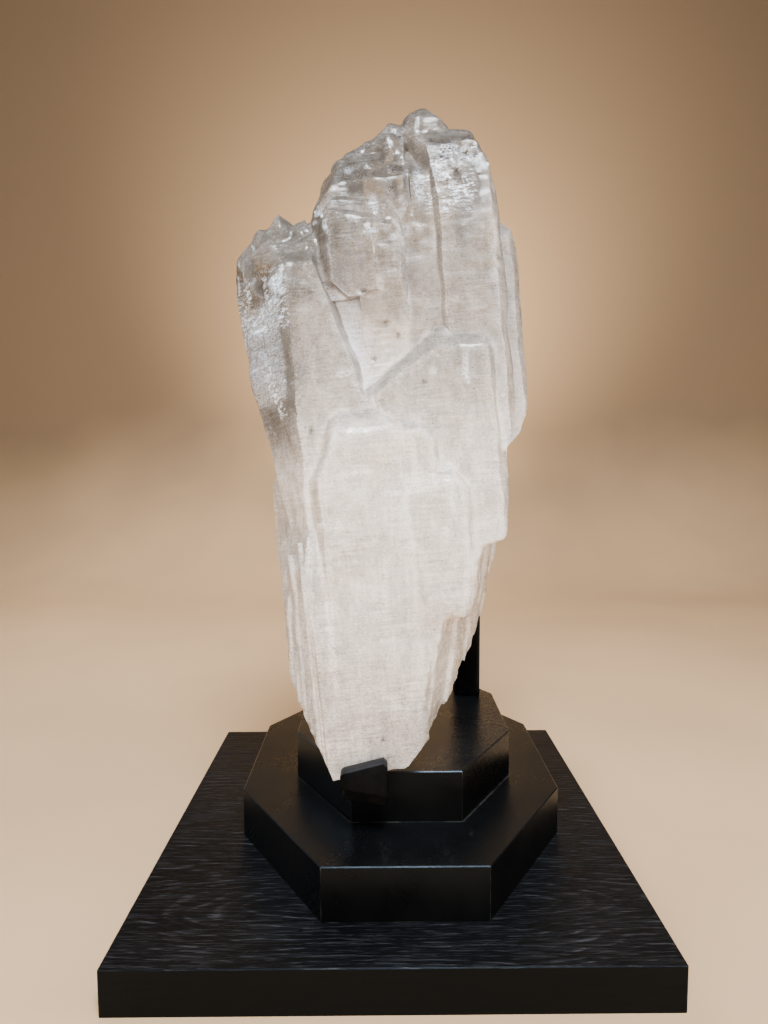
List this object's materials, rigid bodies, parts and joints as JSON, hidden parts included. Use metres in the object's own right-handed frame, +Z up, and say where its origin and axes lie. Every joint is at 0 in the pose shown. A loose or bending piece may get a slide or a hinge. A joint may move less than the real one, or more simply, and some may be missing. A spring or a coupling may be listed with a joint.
{
  "type": "quartz crystal on a stand",
  "caption": "Tall milky quartz specimen of crystals grown together, held upright by a toe clip and a rear post on a stepped black stand.",
  "frame": {"origin": "middle of the plinth's underside", "axes": "+Z up, the stand's front along -Y, +X to the right seen from the front"},
  "size_m": [0.6, 0.6, 1.0387],
  "materials": {
    "black_stained_oak": "black-stained oak veneer, open grain running side to side, satin",
    "black_lacquer": "satin black lacquer on board, thin worn arrises",
    "black_steel": "black painted steel, worn bluish grey on the lip's top",
    "milky_quartz": "milky quartz: cloudy white and near opaque below, greyer and clearer above, glassy faces with fine cross lines"
  },
  "bodies": {
    "root": {"plinth_board": "black_stained_oak", "lower_tier": "black_lacquer", "upper_tier": "black_lacquer", "rear_post": "black_steel", "toe_clip": "black_steel", "quartz_crystal": "milky_quartz"}
  },
  "joints": []
}
